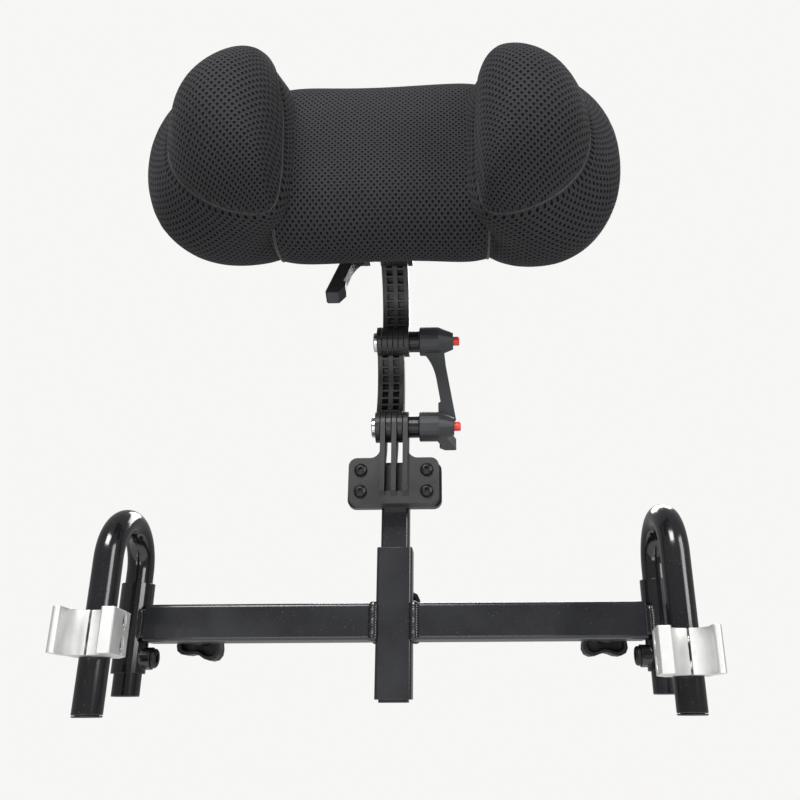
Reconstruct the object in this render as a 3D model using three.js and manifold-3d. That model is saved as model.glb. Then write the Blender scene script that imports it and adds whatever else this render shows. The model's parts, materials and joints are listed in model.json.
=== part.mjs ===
// Headrest attachment for a chair with round back posts, in millimetres.
// +Z is up, -Y is the side the head rests on, and +X is to the right seen from that side.
// The origin lies midway between the two back posts, at the height of the clamps.
// Everything is first laid out in the tube frame: its origin is where the axes of the cross
// arms and of the height post meet. The last lines move it to the part's own origin.
import * as THREE from "three";
import { mergeVertices } from "three/addons/utils/BufferGeometryUtils.js";
import Module from "manifold-3d";

const wasm = await Module();
wasm.setup();

// ---------------------------------------------------------------- driving dimensions

const touchGap = 0.3; // left between faces that touch on the real object
const slideClearance = 0.5; // each side, between a square tube and the one inside it

// square tube frame
const outerTube = 25; // height post sleeve and cross arms, across flats
const tubeWall = 2;
const innerWall = 1.6; // wall of the sliding inner tubes
const tubeCorner = 2.5; // outside corner radius
const sleeveAbove = 51; // post sleeve, above the arm axis
const sleeveBelow = 50.5; // post sleeve, below the arm axis
const postPoke = 2; // how far the inner post shows below its sleeve
const armReach = 185; // from the centre line to each side sleeve's axis
const armEngagement = 110; // length of inner arm inside its outer arm

// star knobs that lock the sliding tubes
const knobReachLeft = 145; // side knobs, from the centre line
const knobReachRight = 151;
const knobHeight = -5; // side knobs, above the arm axis
const postKnobHeight = 9; // post knob, above the arm axis
const knobTurnLeft = 12; // degrees, how far each side knob happens to be turned
const knobTurnRight = 0;
const knobRadius = 20.4; // over the lobes
const knobLobes = 4;
const knobLobeDepth = 3.4; // half the height of a lobe
const knobRim = 2.6; // wall round the hollow underside
const knobThickness = 14;
const knobHubRadius = 7.5;
const knobStandOff = 11; // from the boss to the knob's rim
const studRadius = 4; // M8
const bossRadius = 7.5;
const bossHeight = 6;

// side sleeves, U tubes and their lock screws
const uTubeDiameter = 19;
const uTubeWall = 2;
const legSpacing = 57; // between the two legs of a U tube
const uTubeTop = 75; // above the arm axis
const rearLegDrop = 48; // below the arm axis
const frontLegDrop = 59.5;
const sideSleeveWall = 1.7;
const sideSleeveAbove = 28;
const sideSleeveBelow = 33;
const lockScrewDrop = 23; // below the arm axis
const lockBossReach = 4.6; // boss for the lock screw, beyond the side sleeve
const lockScrewHead = 13; // diameter
const lockScrewHeadHeight = 2.8;

// two-part back post clamps
const postDiameter = 22.2; // chair back post that the clamp slot takes
const postClearance = 0.2; // each side
const clampHeight = 26.5;
const clampWall = 4; // round the leg of the U tube
const clampSplit = 1.4; // gap between the two halves
const clampSwivel = 9; // degrees inwards, about the leg's axis
const slotReach = 35; // slot axis, in front of the leg's axis
const slotMouth = 10.5; // straight walls in front of the slot's axis
const lipThickness = 5.4;
const blockWall = 8; // block wall beside the slot
const blockChamfer = 7; // width of the slanting face behind the block's flat side
const clampBoltRadius = 3; // M6
const clampBoltSpacing = 14.4;
const clampBoltHead = 10; // diameter
const clampHeightLeft = -12; // clamp centres, from the arm axis
const clampHeightRight = -25;

// hinge brackets
const bracketWidth = 64.5;
const bracketHeight = 33.5;
const bracketBottom = 78.4; // above the arm axis
const bracketThickness = 12.5;
const bracketCorner = 6;
const bracketFlare = 7; // fillet between the fingers and the plate
const fingerProud = 3; // how far the fingers stand in front of the plate
const pocketDepth = 7.6;
const pivotAbovePlate = 26;
const backPlateWidth = 68;
const backPlateThickness = 6.5;
const plateBoltRadius = 2.5; // M5
const plateBoltHead = 9.5; // diameter
const plateBoltSpacingX = 47;
const plateBoltSpacingZ = 15.5;

// fingers and ladder links
const fingerThickness = 3.6;
const fingerGap = 0.5; // between a finger and its neighbour on the other part
const fingersPerPart = 3;
const knuckleRadius = 11.5;
const pivotBoltRadius = 4; // M8
const linkSpan = 69; // between the two holes of a link
const linkArcRadius = 52;
const linkBand = 14; // depth of the curved rails
const rungCount = 8;
const rungThickness = 1.7;
const rungPitch = 7.2; // along the arc
const linkWeb = 2.4; // thin wall between the front and the back cells
const upperLinkLean = 29; // degrees forwards from upright

// clamp levers
const boltHeadRadius = 7.5;
const boltHeadThickness = 2.7;
const neckRadius = 8.1;
const neckLength = 7.4;
const hubRadius = 11;
const hubLength = 14.4; // cylindrical stretch
const hubTaper = 11.2; // tapered stretch
const hubEndRadius = 6.4;
const leverLength = 62;
const leverThickness = 9;
const buttonRadius = 3.5;
const buttonProud = 4.8;
const buttonTravel = 2;
const buttonDepth = 10; // of the bore that guides the button
const springWire = 0.8;
const springLength = 2.2; // with the button pressed in
const leverAngleLow = 95; // degrees backwards from straight down
const leverAngleMiddle = 14;
const leverAngleTop = -28;

// head pad
const padOffset = -3; // pad centre, from the centre line
const centrePadWidth = 146;
const padHeight = 138;
const padDepth = 84;
const padRise = 28; // pad centre above the top pivot
const wingWidth = 94; // from the seam to the outer end
const wingHeight = 140;
const wingDepth = 137;

// ---------------------------------------------------------------- derived sizes

const degree = Math.PI / 180;
const innerTube = outerTube - 2 * (tubeWall + slideClearance);
const legRadius = uTubeDiameter / 2;
const sleeveBore = legRadius + touchGap;
const sleeveRadius = sleeveBore + sideSleeveWall;
const slotRadius = postDiameter / 2 + postClearance;
const bendRadius = legSpacing / 2;
const bendCentreZ = uTubeTop - bendRadius - legRadius;
const fingerPitch = fingerThickness + fingerGap;
const samePartPitch = 2 * fingerPitch;
const partHalfWidth = samePartPitch * ((fingersPerPart - 1) / 2) + fingerThickness / 2;
const slotWidth = samePartPitch - fingerThickness;
const bracketTop = bracketBottom + bracketHeight;
const backPlateFront = -(innerTube / 2 + touchGap + backPlateThickness);
const bracketBack = backPlateFront - touchGap;
const bracketFront = bracketBack - bracketThickness;
const pivotY = bracketFront - fingerProud + knuckleRadius;
const lowPivot = new THREE.Vector2(pivotY, bracketTop + pivotAbovePlate);
const middlePivot = lowPivot.clone().add(new THREE.Vector2(0, linkSpan));
const topPivot = middlePivot.clone().add(
  new THREE.Vector2(-Math.sin(upperLinkLean * degree), Math.cos(upperLinkLean * degree))
    .multiplyScalar(linkSpan),
);

// ---------------------------------------------------------------- materials

const blackCoat = new THREE.MeshStandardMaterial({ color: 0x15161a, roughness: 0.3, metalness: 0.3 });
const blackNylon = new THREE.MeshStandardMaterial({ color: 0x1b1c1e, roughness: 0.55 });
const leverGrey = new THREE.MeshStandardMaterial({ color: 0x2a2c2e, roughness: 0.6 });
const aluminium = new THREE.MeshStandardMaterial({ color: 0xdcdcda, roughness: 0.45, metalness: 1 });
const zincSteel = new THREE.MeshStandardMaterial({ color: 0xc4c6c8, roughness: 0.35, metalness: 1 });
const blackSteel = new THREE.MeshStandardMaterial({ color: 0x101113, roughness: 0.4, metalness: 0.8 });
const redPlastic = new THREE.MeshStandardMaterial({ color: 0xd8392b, roughness: 0.4 });
const airMesh = new THREE.MeshStandardMaterial({ color: 0x1d1e20, roughness: 0.95 });

// ---------------------------------------------------------------- solids and placing

// A closed geometry as a manifold solid, turned the right way out.
function solid(geometry) {
  const bare = geometry.clone();
  bare.deleteAttribute("normal");
  bare.deleteAttribute("uv");
  const merged = mergeVertices(bare, 1e-4);
  const vertProperties = new Float32Array(merged.attributes.position.array);
  const triVerts = new Uint32Array(merged.index.array);
  const made = new wasm.Manifold(new wasm.Mesh({ numProp: 3, vertProperties, triVerts }));
  if (made.volume() > 0) return made;
  for (let i = 0; i < triVerts.length; i += 3) {
    [triVerts[i + 1], triVerts[i + 2]] = [triVerts[i + 2], triVerts[i + 1]];
  }
  return new wasm.Manifold(new wasm.Mesh({ numProp: 3, vertProperties, triVerts }));
}

function geometryOf(made) {
  const mesh = made.getMesh();
  const geometry = new THREE.BufferGeometry();
  geometry.setAttribute("position", new THREE.BufferAttribute(mesh.vertProperties, 3));
  geometry.setIndex(new THREE.BufferAttribute(mesh.triVerts, 1));
  return geometry;
}

const cut = (body, ...tools) => tools.reduce((rest, tool) => rest.subtract(tool), body);
const join = (first, ...others) => others.reduce((sum, other) => sum.add(other), first);

// Changes of axes: an extrusion or lathe is made along Z or Y, and then stood along its real axis.
const alongX = new THREE.Matrix4().makeBasis(
  new THREE.Vector3(0, 1, 0), new THREE.Vector3(0, 0, 1), new THREE.Vector3(1, 0, 0));
const alongMinusY = new THREE.Matrix4().makeBasis(
  new THREE.Vector3(1, 0, 0), new THREE.Vector3(0, 0, 1), new THREE.Vector3(0, -1, 0));

// An outline in (Y, Z), extruded from x0 to x1.
function slabX(shape, x0, x1, curveSegments = 8) {
  const settings = { depth: x1 - x0, bevelEnabled: false, curveSegments };
  const geometry = new THREE.ExtrudeGeometry(shape, settings).applyMatrix4(alongX);
  return solid(geometry.translate(x0, 0, 0));
}

// An outline in (X, Z), extruded from y0 forwards (towards -Y) to y1.
function slabY(shape, y0, y1, curveSegments = 8) {
  const settings = { depth: y0 - y1, bevelEnabled: false, curveSegments };
  const geometry = new THREE.ExtrudeGeometry(shape, settings).applyMatrix4(alongMinusY);
  return solid(geometry.translate(0, y0, 0));
}

// An outline in (X, Y), extruded from z0 up to z1.
function slabZ(shape, z0, z1, curveSegments = 8) {
  const settings = { depth: z1 - z0, bevelEnabled: false, curveSegments };
  return solid(new THREE.ExtrudeGeometry(shape, settings).translate(0, 0, z0));
}

// A solid of revolution. Each profile point is [radius, distance along the axis].
function turned(profile, axis, sides) {
  const points = profile.map(([r, h]) => new THREE.Vector2(r, h));
  const geometry = new THREE.LatheGeometry(points, sides);
  if (axis === "x") geometry.rotateZ(-Math.PI / 2);
  if (axis === "z") geometry.rotateX(Math.PI / 2);
  return solid(geometry);
}

const rod = (radius, from, to, axis, sides = 20) =>
  turned([[0, from], [radius, from], [radius, to], [0, to]], axis, sides);

function block(x0, x1, y0, y1, z0, z1) {
  const geometry = new THREE.BoxGeometry(x1 - x0, y1 - y0, z1 - z0);
  return solid(geometry.translate((x0 + x1) / 2, (y0 + y1) / 2, (z0 + z1) / 2));
}

// A rectangle with round corners, centred on (cx, cy).
function roundedRectangle(width, height, radius, cx = 0, cy = 0, kind = THREE.Shape) {
  const shape = new kind();
  const w = width / 2 - radius;
  const h = height / 2 - radius;
  shape.moveTo(cx - w, cy - h - radius);
  shape.lineTo(cx + w, cy - h - radius);
  shape.absarc(cx + w, cy - h, radius, -Math.PI / 2, 0);
  shape.lineTo(cx + w + radius, cy + h);
  shape.absarc(cx + w, cy + h, radius, 0, Math.PI / 2);
  shape.lineTo(cx - w, cy + h + radius);
  shape.absarc(cx - w, cy + h, radius, Math.PI / 2, Math.PI);
  shape.lineTo(cx - w - radius, cy - h);
  shape.absarc(cx - w, cy - h, radius, Math.PI, 1.5 * Math.PI);
  return shape;
}

function squareTubeOutline(size, wall) {
  const outline = roundedRectangle(size, size, tubeCorner);
  const bore = size - 2 * wall;
  outline.holes.push(roundedRectangle(bore, bore, Math.max(tubeCorner - wall, 0.4), 0, 0, THREE.Path));
  return outline;
}

const tubeFrame = new THREE.Group();

function place(name, made, material, group = tubeFrame) {
  const mesh = new THREE.Mesh(geometryOf(made), material);
  mesh.name = name;
  group.add(mesh);
  return mesh;
}

const sides = [
  {
    name: "left", sign: -1, clampZ: clampHeightLeft,
    knobReach: knobReachLeft, knobTurn: knobTurnLeft,
  },
  {
    name: "right", sign: 1, clampZ: clampHeightRight,
    knobReach: knobReachRight, knobTurn: knobTurnRight,
  },
];

// Pieces of the right side are mirrored for the left side.
function sided(made, sign) {
  return sign > 0 ? made : made.mirror([1, 0, 0]);
}

// ---------------------------------------------------------------- square tube frame

const knobBack = outerTube / 2 + touchGap + bossHeight + touchGap; // where a knob's hub starts
const studTip = innerTube / 2 + touchGap;

// A hole through the back wall of an outer tube, for a knob's stud.
const studHole = (x, z) => rod(studRadius + touchGap, 0, outerTube, "y", 16).translate([x, 0, z]);

function makePostSleeve() {
  const tube = slabZ(squareTubeOutline(outerTube, tubeWall), -sleeveBelow, sleeveAbove, 3);
  return cut(tube, studHole(0, postKnobHeight));
}

// Arm from the post sleeve out to just before the side sleeve.
function makeArmTube(knobReach) {
  const start = outerTube / 2 + touchGap;
  const end = armReach - sleeveRadius - touchGap;
  const tube = slabX(squareTubeOutline(outerTube, tubeWall), start, end, 3);
  return cut(tube, studHole(knobReach, knobHeight));
}

// The sliding inner arm is coped to fit round the side sleeve that is welded to it.
function makeInnerArm() {
  const end = armReach;
  const start = armReach - sleeveRadius - armEngagement;
  const tube = slabX(squareTubeOutline(innerTube, innerWall), start, end, 3);
  const cope = rod(sleeveRadius + touchGap, -outerTube, outerTube, "z", 24).translate([armReach, 0, 0]);
  return cut(tube, cope, block(armReach, armReach + outerTube, -outerTube, outerTube, -outerTube, outerTube));
}

function makeInnerPost() {
  const tube = squareTubeOutline(innerTube, innerWall);
  return slabZ(tube, -(sleeveBelow + postPoke), bracketTop - tubeWall, 3);
}

function makeKnobBoss() {
  const from = outerTube / 2 + touchGap;
  const ring = rod(bossRadius, from, from + bossHeight, "y", 20);
  return cut(ring, rod(studRadius + touchGap, 0, outerTube + bossHeight, "y", 16));
}

// Star knob with its moulded-in stud. Its hollow side faces the tube.
function makeKnob() {
  const points = [];
  const steps = knobLobes * 8;
  const mean = knobRadius - knobLobeDepth;
  for (let i = 0; i < steps; i += 1) {
    const angle = (i / steps) * 2 * Math.PI;
    const radius = mean + knobLobeDepth * Math.cos(knobLobes * angle);
    points.push(new THREE.Vector2(radius * Math.cos(angle), radius * Math.sin(angle)));
  }
  const star = new THREE.Shape(points);
  const inner = new THREE.Shape(points.map((p) => p.clone().multiplyScalar(1 - knobRim / mean)));
  const rimY = knobBack + knobStandOff;
  const body = slabY(star, rimY + knobThickness, rimY);
  const hollow = slabY(inner, rimY + knobThickness - 2 * knobRim, rimY - 1);
  const hub = rod(knobHubRadius, knobBack, rimY + knobThickness - knobRim, "y", 20);
  const stud = rod(studRadius, studTip, knobBack + knobStandOff, "y", 16);
  return join(cut(body, hollow), hub, stud);
}

place("post_sleeve", makePostSleeve(), blackCoat);
place("inner_post", makeInnerPost(), blackCoat);
for (const side of sides) {
  place(`arm_tube_${side.name}`, sided(makeArmTube(side.knobReach), side.sign), blackCoat);
  place(`inner_arm_${side.name}`, sided(makeInnerArm(), side.sign), blackCoat);
}
function placeKnob(name, x, z, turn) {
  place(`knob_boss_${name}`, makeKnobBoss().translate([x, 0, z]), blackCoat);
  place(`star_knob_${name}`, makeKnob().rotate([0, turn, 0]).translate([x, 0, z]), blackNylon);
}

const lobesDiagonal = 180 / knobLobes; // turns a knob so that it has two lobes at the bottom
for (const side of sides) {
  placeKnob(side.name, side.sign * side.knobReach, knobHeight, lobesDiagonal + side.knobTurn);
}
placeKnob("post", 0, postKnobHeight, lobesDiagonal);

// ---------------------------------------------------------------- side sleeves and U tubes

// Hexagon socket of a screw, as a cutting tool along X from the head's end face inwards.
function hexSocket(acrossFlats, from, to) {
  return rod(acrossFlats / Math.sqrt(3), from, to, "x", 6);
}

function makeSideSleeve() {
  const tube = rod(sleeveRadius, -sideSleeveBelow, sideSleeveAbove, "z", 24);
  const nut = rod(bossRadius, -(sleeveRadius + lockBossReach), 0, "x", 20).translate([0, 0, -lockScrewDrop]);
  const hole = rod(studRadius + touchGap, -2 * sleeveRadius, 0, "x", 16);
  return cut(
    join(tube, nut),
    rod(sleeveBore, -sideSleeveBelow - 1, sideSleeveAbove + 1, "z", 24),
    hole.translate([0, 0, -lockScrewDrop]),
  ).translate([armReach, 0, 0]);
}

// Lock screw on the inner side of the sleeve, with its tip against the tube.
function makeLockScrew() {
  const headStart = -(sleeveRadius + lockBossReach + touchGap);
  const headEnd = headStart - lockScrewHeadHeight;
  const bevel = 0.8;
  const head = lockScrewHead / 2;
  const profile = [
    [0, headEnd], [head - bevel, headEnd], [head, headEnd + bevel], [head, headStart],
    [studRadius, headStart], [studRadius, -sleeveBore], [0, -sleeveBore],
  ];
  const socketDepth = lockScrewHeadHeight * 0.65;
  const screw = cut(turned(profile, "x", 20), hexSocket(6, headEnd - 1, headEnd + socketDepth));
  return screw.translate([armReach, 0, -lockScrewDrop]);
}

// Path of a U tube: up the rear leg, over the bend and down the front leg. The stations are the
// two leg ends and evenly spaced stops round the bend, so that the straight legs need one step each.
class UTubePath extends THREE.Curve {
  constructor(bendSteps) {
    super();
    this.steps = bendSteps + 2;
    this.bendSteps = bendSteps;
  }
  turnAt(u) {
    return (THREE.MathUtils.clamp(u * this.steps - 1, 0, this.bendSteps) / this.bendSteps) * Math.PI;
  }
  getPointAt(u) {
    const station = u * this.steps;
    const turn = this.turnAt(u);
    const y = -bendRadius + bendRadius * Math.cos(turn);
    const z = bendCentreZ + bendRadius * Math.sin(turn);
    const rearLeg = Math.max(1 - station, 0) * (bendCentreZ + rearLegDrop);
    const frontLeg = Math.max(station - this.steps + 1, 0) * (bendCentreZ + frontLegDrop);
    return new THREE.Vector3(0, y, z - rearLeg - frontLeg);
  }
  getTangentAt(u) {
    const turn = this.turnAt(u);
    return new THREE.Vector3(0, -Math.sin(turn), Math.cos(turn));
  }
}

function makeUTube() {
  const path = new UTubePath(14);
  const section = new THREE.Shape().absarc(0, 0, legRadius, 0, 2 * Math.PI);
  section.holes.push(new THREE.Path().absarc(0, 0, legRadius - uTubeWall, 0, 2 * Math.PI));
  const settings = { steps: path.steps, extrudePath: path, curveSegments: 9 };
  return solid(new THREE.ExtrudeGeometry(section, settings)).translate([armReach, 0, 0]);
}

// Push-in end plug of a front leg.
function makeLegPlug() {
  const bore = legRadius - uTubeWall - touchGap;
  const face = -frontLegDrop - touchGap;
  const profile = [
    [0, face - 1], [legRadius - 0.8, face - 1], [legRadius - 0.2, face - 0.5],
    [legRadius - 0.2, face], [bore, face], [bore, face + 10], [0, face + 10],
  ];
  return turned(profile, "z", 20).translate([armReach, -legSpacing, 0]);
}

for (const side of sides) {
  place(`side_sleeve_${side.name}`, sided(makeSideSleeve(), side.sign), blackCoat);
  place(`lock_screw_${side.name}`, sided(makeLockScrew(), side.sign), blackSteel);
  place(`u_tube_${side.name}`, sided(makeUTube(), side.sign), blackCoat);
  place(`leg_plug_${side.name}`, sided(makeLegPlug(), side.sign), blackNylon);
}

// ---------------------------------------------------------------- back post clamps

// Clamp outlines are drawn round the leg's axis, for the right side: x outwards, y backwards, and
// the slot straight in front. The clamp is then swivelled on its leg.
const halfSplit = clampSplit / 2;
const clampBore = legRadius + touchGap;
const clampRear = clampBore + clampWall;
const slotFront = -(slotReach + slotMouth);
const flankX = -slotRadius - blockWall;
const clampBoltY = -(clampBore + slotReach - slotRadius) / 2 - 0.6;

// Angle, seen from the slot's axis, at which its round end meets a line x = offset.
const slotAngle = (offset) => Math.acos(offset / slotRadius);
// Angle, seen from the leg's axis, at which the bore meets a line x = offset.
const boreAngle = (offset) => Math.acos(offset / clampBore);

function makeClampBlock() {
  const shape = new THREE.Shape();
  const corner = 0.8;
  shape.moveTo(-halfSplit, clampRear);
  shape.lineTo(flankX + blockChamfer, clampRear);
  shape.lineTo(flankX, clampRear - 2.5 * blockChamfer);
  shape.lineTo(flankX, slotFront + corner);
  shape.lineTo(flankX + corner, slotFront);
  shape.lineTo(-slotRadius - corner, slotFront);
  shape.lineTo(-slotRadius, slotFront + corner);
  shape.lineTo(-slotRadius, -slotReach);
  shape.absarc(0, -slotReach, slotRadius, Math.PI, slotAngle(-halfSplit), true);
  shape.lineTo(-halfSplit, -clampBore * Math.sin(boreAngle(-halfSplit)));
  shape.absarc(0, 0, clampBore, -boreAngle(-halfSplit), boreAngle(-halfSplit), true);
  const body = slabZ(shape, -clampHeight / 2, clampHeight / 2, 8);
  return cut(body, ...clampBoltHoles(flankX - 1));
}

function makeClampHook() {
  const shape = new THREE.Shape();
  const lipOuter = slotRadius + lipThickness;
  const lipNose = lipThickness / 2;
  const corner = clampWall + 1;
  shape.moveTo(halfSplit, -clampBore * Math.sin(boreAngle(halfSplit)));
  shape.lineTo(halfSplit, -slotReach + slotRadius * Math.sin(slotAngle(halfSplit)));
  shape.absarc(0, -slotReach, slotRadius, slotAngle(halfSplit), 0, true);
  shape.lineTo(slotRadius, slotFront + lipNose);
  shape.absarc(slotRadius + lipNose, slotFront + lipNose, lipNose, Math.PI, 2 * Math.PI);
  shape.lineTo(lipOuter, -slotReach + 4);
  shape.quadraticCurveTo(lipOuter, -clampRear - 4, clampRear, -clampRear + 2);
  shape.lineTo(clampRear, clampRear - corner);
  shape.absarc(clampRear - corner, clampRear - corner, corner, 0, Math.PI / 2);
  shape.lineTo(halfSplit, clampRear);
  shape.lineTo(halfSplit, clampBore * Math.sin(boreAngle(halfSplit)));
  shape.absarc(0, 0, clampBore, boreAngle(halfSplit), -boreAngle(halfSplit), true);
  const body = slabZ(shape, -clampHeight / 2, clampHeight / 2, 8);
  return cut(body, ...clampBoltHoles(-halfSplit - 1));
}

const clampBoltEnd = clampRear - 6; // the threaded hole stays blind in the hook

function clampBoltHoles(from) {
  const holes = [];
  for (const level of [-clampBoltSpacing / 2, clampBoltSpacing / 2]) {
    const through = rod(clampBoltRadius + touchGap, from, clampBoltEnd + touchGap, "x", 12);
    const counterbore = rod(clampBoltHead / 2 + touchGap, flankX - 1, flankX + 6, "x", 16);
    holes.push(through.translate([0, clampBoltY, level]));
    if (from < flankX) holes.push(counterbore.translate([0, clampBoltY, level]));
  }
  return holes;
}

function makeClampBolt() {
  const headEnd = flankX + 0.7;
  const headStart = flankX + 6 - touchGap;
  const profile = [
    [0, headEnd], [clampBoltHead / 2 - 0.5, headEnd], [clampBoltHead / 2, headEnd + 0.5],
    [clampBoltHead / 2, headStart], [clampBoltRadius, headStart],
    [clampBoltRadius, clampBoltEnd], [0, clampBoltEnd],
  ];
  return cut(turned(profile, "x", 16), hexSocket(5, headEnd - 1, headEnd + 3));
}

for (const side of sides) {
  const clamp = new THREE.Group();
  clamp.position.set(side.sign * armReach, -legSpacing, side.clampZ);
  clamp.rotation.z = -side.sign * clampSwivel * degree;
  tubeFrame.add(clamp);
  place(`clamp_block_${side.name}`, sided(makeClampBlock(), side.sign), aluminium, clamp);
  place(`clamp_hook_${side.name}`, sided(makeClampHook(), side.sign), aluminium, clamp);
  for (const [end, level] of [["lower", -0.5], ["upper", 0.5]]) {
    const bolt = sided(makeClampBolt(), side.sign).translate([0, clampBoltY, level * clampBoltSpacing]);
    place(`clamp_bolt_${side.name}_${end}`, bolt, zincSteel, clamp);
  }
}

// ---------------------------------------------------------------- hinge brackets

// A bracket is drawn round its pivot: the plate hangs below it and is bolted to what lies behind
// (+Y). The plate's outline is in (X, Z), the fingers' outline in (Y, Z).
const plateTop = -pivotAbovePlate;
const plateMiddle = plateTop - bracketHeight / 2;
const plateBack = bracketBack - pivotY;
const plateFront = bracketFront - pivotY;

function bracketPlateOutline() {
  const half = bracketWidth / 2;
  const bottom = plateTop - bracketHeight;
  const flareTop = plateTop + bracketFlare;
  const flareX = partHalfWidth + bracketFlare;
  const r = bracketCorner;
  const shape = new THREE.Shape();
  shape.moveTo(-half + r, bottom);
  shape.lineTo(half - r, bottom);
  shape.absarc(half - r, bottom + r, r, -Math.PI / 2, 0);
  shape.lineTo(half, plateTop - r);
  shape.absarc(half - r, plateTop - r, r, 0, Math.PI / 2);
  shape.lineTo(flareX, plateTop);
  shape.absarc(flareX, flareTop, bracketFlare, 1.5 * Math.PI, Math.PI, true);
  shape.lineTo(-partHalfWidth, flareTop);
  shape.absarc(-flareX, flareTop, bracketFlare, 0, -Math.PI / 2, true);
  shape.lineTo(-half + r, plateTop);
  shape.absarc(-half + r, plateTop - r, r, Math.PI / 2, Math.PI);
  shape.lineTo(-half, bottom + r);
  shape.absarc(-half + r, bottom + r, r, Math.PI, 1.5 * Math.PI);
  return shape;
}

function bracketFingerOutline() {
  const foot = plateTop - bracketHeight + bracketCorner;
  const front = plateFront - fingerProud;
  const rear = -front;
  const shape = new THREE.Shape();
  shape.moveTo(front, 0);
  shape.lineTo(front, foot + fingerProud);
  shape.lineTo(plateFront, foot - 1);
  shape.lineTo(plateBack - 1, foot - 1);
  shape.lineTo(plateBack - 1, plateTop + 1);
  shape.lineTo(Math.max(plateBack, 0), plateTop + 1);
  shape.lineTo(rear, plateTop + 1 + rear);
  shape.lineTo(rear, 0);
  shape.absarc(0, 0, knuckleRadius, 0, Math.PI);
  return shape;
}

const fingerOffsets = [...Array(fingersPerPart).keys()]
  .map((i) => (i - (fingersPerPart - 1) / 2) * samePartPitch);
const gapOffsets = fingerOffsets.slice(1).map((x) => x - samePartPitch / 2);

const pivotHole = (y = 0, z = 0) =>
  rod(pivotBoltRadius + touchGap, -outerTube, outerTube, "x", 20).translate([0, y, z]);

function plateBoltPlaces() {
  const places = [];
  for (const x of [-plateBoltSpacingX / 2, plateBoltSpacingX / 2]) {
    for (const z of [-plateBoltSpacingZ / 2, plateBoltSpacingZ / 2]) places.push([x, z]);
  }
  return places;
}

function makeBracket() {
  let body = slabY(bracketPlateOutline(), plateBack, plateFront, 4);
  for (const x of fingerOffsets) {
    const half = fingerThickness / 2;
    body = body.add(slabX(bracketFingerOutline(), x - half, x + half, 12));
  }
  const pocketFoot = plateTop - bracketHeight + bracketCorner + fingerProud;
  const throughFoot = plateTop - 3;
  const pocketFloor = plateFront + pocketDepth;
  for (const x of gapOffsets) {
    const half = slotWidth / 2;
    body = cut(
      body,
      block(x - half, x + half, plateFront - 5, pocketFloor, pocketFoot, throughFoot + 1),
      block(x - half, x + half, plateFront - 5, plateBack + 5, throughFoot, plateTop + 20),
    );
  }
  const hole = rod(plateBoltRadius + touchGap, plateFront - 5, plateBack + 5, "y", 12);
  const holes = plateBoltPlaces().map(([x, z]) => hole.translate([x, 0, plateMiddle + z]));
  return cut(body, pivotHole(), ...holes);
}

function makeBackPlate() {
  const front = plateBack + touchGap;
  const outline = roundedRectangle(backPlateWidth, bracketHeight, bracketCorner, 0, plateMiddle);
  const plate = slabY(outline, front + backPlateThickness, front, 4);
  const hole = rod(plateBoltRadius + touchGap, front - 1, front + backPlateThickness + 1, "y", 12);
  return cut(plate, ...plateBoltPlaces().map(([x, z]) => hole.translate([x, 0, plateMiddle + z])));
}

// Button-head screw along Y with its head in front.
function makePlateBolt() {
  const under = plateFront - touchGap;
  const crown = under - 2.8;
  const head = plateBoltHead / 2;
  const end = plateBack + touchGap + backPlateThickness - touchGap;
  const profile = [
    [0, crown], [head * 0.55, crown + 0.1], [head * 0.85, crown + 0.9], [head, under - 0.5],
    [head, under], [plateBoltRadius, under], [plateBoltRadius, end], [0, end],
  ];
  const socket = rod(3 / Math.sqrt(3), crown - 1, crown + 1.8, "y", 6);
  return cut(turned(profile, "y", 12), socket);
}

function placeBracket(prefix, group) {
  place(`${prefix}_bracket`, makeBracket(), blackNylon, group);
  place(`${prefix}_plate`, makeBackPlate(), blackCoat, group);
  plateBoltPlaces().forEach(([x, z], i) => {
    const bolt = makePlateBolt().translate([x, 0, plateMiddle + z]);
    place(`${prefix}_bolt_${i + 1}`, bolt, blackSteel, group);
  });
}

// A group whose own origin is a pivot; tilt is in degrees, positive leaning forwards.
function pivotGroup(pivot, x = 0, tilt = 0) {
  const group = new THREE.Group();
  group.position.set(x, pivot.x, pivot.y);
  group.rotation.x = tilt * degree;
  tubeFrame.add(group);
  return group;
}

placeBracket("post", pivotGroup(lowPivot));

// ---------------------------------------------------------------- ladder links

// A link is drawn from its lower hole at the origin to its upper hole at z = linkSpan. Its rails
// follow an arc that bulges backwards. All arc angles are seen from the arc's centre.
const arcCentreY = -Math.sqrt(linkArcRadius ** 2 - (linkSpan / 2) ** 2);
const arcHalfAngle = Math.asin(linkSpan / 2 / linkArcRadius);

function arcSector(inner, outer, from, to) {
  const shape = new THREE.Shape();
  const centreZ = linkSpan / 2;
  shape.absarc(arcCentreY, centreZ, outer, from, to);
  shape.absarc(arcCentreY, centreZ, inner, to, from, true);
  return shape;
}

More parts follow.
